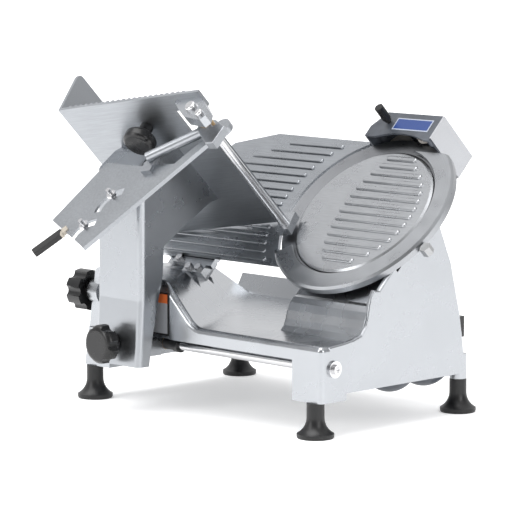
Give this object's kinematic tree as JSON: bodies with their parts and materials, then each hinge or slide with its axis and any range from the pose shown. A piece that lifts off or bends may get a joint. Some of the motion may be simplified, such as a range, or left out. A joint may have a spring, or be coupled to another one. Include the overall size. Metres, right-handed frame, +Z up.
{
  "type": "deli meat slicer",
  "caption": "Bench-top deli slicer: tilted round blade with a ring guard, sliding product tray with a swing-out pusher, adjustable gauge plate and top sharpener on a cast base.",
  "frame": {"origin": "bottom centre of the whole machine's bounding box, on the bench", "axes": "+X to the operator's right, the carriage side; +Y away from the operator, the way the carriage travels; +Z up"},
  "size_m": [0.4997, 0.5183, 0.4397],
  "materials": {
    "abrasive": "bonded grit",
    "black_plastic": "moulded, lightly worn",
    "bright_steel": "bright turned bar",
    "bronze": "sintered",
    "brushed_aluminium": "brushed plate",
    "cast_aluminium": "polished casting with fine brushing",
    "dark_steel": "satin black paint",
    "label_blue": "printed film, blank",
    "label_warning": "printed film, blank",
    "nylon": "plain",
    "rubber": "matt",
    "stainless": "ground and polished"
  },
  "bodies": {
    "base": {"base_casting": "cast_aluminium", "bottom_cover": "dark_steel", "foot_near_right": "rubber", "foot_near_left": "rubber", "foot_far_right": "rubber", "foot_far_left": "rubber", "rail_rod": "bright_steel", "rail_screws": "bright_steel", "guide_bar": "bright_steel", "bearing_carrier": "stainless", "bearing_front": "stainless", "bearing_rear": "stainless", "motor_plate": "stainless", "motor": "dark_steel", "drive_belt": "rubber", "rear_cover": "cast_aluminium", "blade_cover": "brushed_aluminium", "ring_guard": "brushed_aluminium", "ring_nut": "stainless", "gauge_guide": "cast_aluminium", "switch_housing": "black_plastic", "sharpener_post": "stainless", "tower_label": "label_warning"},
    "cover_release": {"tie_rod": "stainless", "cover_knob": "black_plastic"},
    "blade_rotor": {"blade": "stainless", "blade_screws": "bright_steel", "blade_hub": "stainless", "blade_pulley": "stainless"},
    "motor_rotor": {"motor_pulley": "stainless", "motor_shaft": "bright_steel"},
    "gauge": {"gauge_plate": "brushed_aluminium", "gauge_bracket": "cast_aluminium", "gauge_bolts": "bright_steel"},
    "index_knob": {"thickness_knob": "black_plastic", "index_spindle": "stainless"},
    "power_switch": {"switch_rocker": "black_plastic"},
    "sharpener": {"sharpener_cap": "dark_steel", "sharpener_label": "label_blue", "sharpener_side": "brushed_aluminium"},
    "grinding_wheel": {"grinding_stone": "abrasive"},
    "truing_wheel": {"truing_stone": "abrasive"},
    "sharpener_clamp": {"sharpener_knob": "black_plastic"},
    "carriage": {"carriage_foot": "cast_aluminium", "foot_bushings": "bronze", "guide_shoe": "nylon", "bumper": "rubber", "carriage_arm": "cast_aluminium", "tray": "stainless", "corner_bracket": "cast_aluminium", "rod_block": "cast_aluminium", "pusher_rod": "bright_steel", "corner_bolts": "bright_steel"},
    "release": {"release_knob": "black_plastic"},
    "tray_clamp": {"tray_knob": "black_plastic"},
    "pusher_slider": {"pusher_sleeve": "bronze"},
    "pusher": {"pusher_arm": "brushed_aluminium", "pusher_plate": "brushed_aluminium", "pusher_pins": "bright_steel", "pusher_grip": "black_plastic"}
  },
  "joints": [
    {"name": "carriage_slide", "type": "slide", "parent": "base", "child": "carriage", "axis": [0, 1, 0], "range_m": [0, 0.228]},
    {"name": "blade_spin", "type": "hinge", "parent": "base", "child": "blade_rotor", "pos_m": [-0.095, 0.118, 0.268], "axis": [0.7071, 0, 0.7071], "continuous": true},
    {"name": "motor_spin", "type": "hinge", "parent": "base", "child": "motor_rotor", "pos_m": [-0.02005, 0.118, 0.19305], "axis": [0.7071, 0, 0.7071], "continuous": true},
    {"name": "gauge_slide", "type": "slide", "parent": "base", "child": "gauge", "axis": [-0.7071, 0, -0.7071], "range_m": [0, 0.015]},
    {"name": "thickness_knob_turn", "type": "hinge", "parent": "base", "child": "index_knob", "pos_m": [0.071, -0.247, 0.145], "axis": [0, 1, 0], "range_deg": [0, 300]},
    {"name": "power_rocker", "type": "hinge", "parent": "base", "child": "power_switch", "pos_m": [-0.192, 0.193, 0.114], "axis": [0, 1, 0], "range_deg": [-5, 5]},
    {"name": "cover_knob_turn", "type": "hinge", "parent": "base", "child": "cover_release", "pos_m": [-0.095, 0.118, 0.268], "axis": [0.7071, 0, 0.7071], "range_deg": [0, 360]},
    {"name": "sharpener_lift", "type": "slide", "parent": "base", "child": "sharpener", "axis": [-0.7071, 0, 0.7071], "range_m": [0, 0.025]},
    {"name": "grinding_stone_spin", "type": "hinge", "parent": "sharpener", "child": "grinding_wheel", "pos_m": [-0.18622, 0.084, 0.35922], "axis": [0.7071, 0, 0.7071], "continuous": true},
    {"name": "truing_stone_spin", "type": "hinge", "parent": "sharpener", "child": "truing_wheel", "pos_m": [-0.18975, 0.148, 0.36275], "axis": [0.7071, 0, 0.7071], "continuous": true},
    {"name": "sharpener_knob_turn", "type": "hinge", "parent": "sharpener", "child": "sharpener_clamp", "pos_m": [-0.19329, 0.084, 0.36629], "axis": [0.7071, 0, 0.7071], "range_deg": [0, 180]},
    {"name": "release_knob_turn", "type": "hinge", "parent": "carriage", "child": "release", "pos_m": [0.144, -0.123, 0.0915], "axis": [1, 0, 0], "range_deg": [0, 360]},
    {"name": "tray_knob_turn", "type": "hinge", "parent": "carriage", "child": "tray_clamp", "pos_m": [0.09825, -0.09614, 0.37325], "axis": [-0.6917, -0.2079, 0.6917], "range_deg": [0, 360]},
    {"name": "pusher_slide", "type": "slide", "parent": "carriage", "child": "pusher_slider", "axis": [-0.7071, 0, -0.7071], "range_m": [-0.008, 0.008]},
    {"name": "pusher_swing", "type": "hinge", "parent": "pusher_slider", "child": "pusher", "pos_m": [0.08629, 0.01744, 0.38097], "axis": [0.7071, 0, 0.7071], "range_deg": [0, 240]}
  ],
  "couplings": [
    {"joint": "motor_spin", "follows": "blade_spin", "ratio": 1.6},
    {"joint": "thickness_knob_turn", "follows": "gauge_slide", "rad_per_m": 349.07}
  ]
}
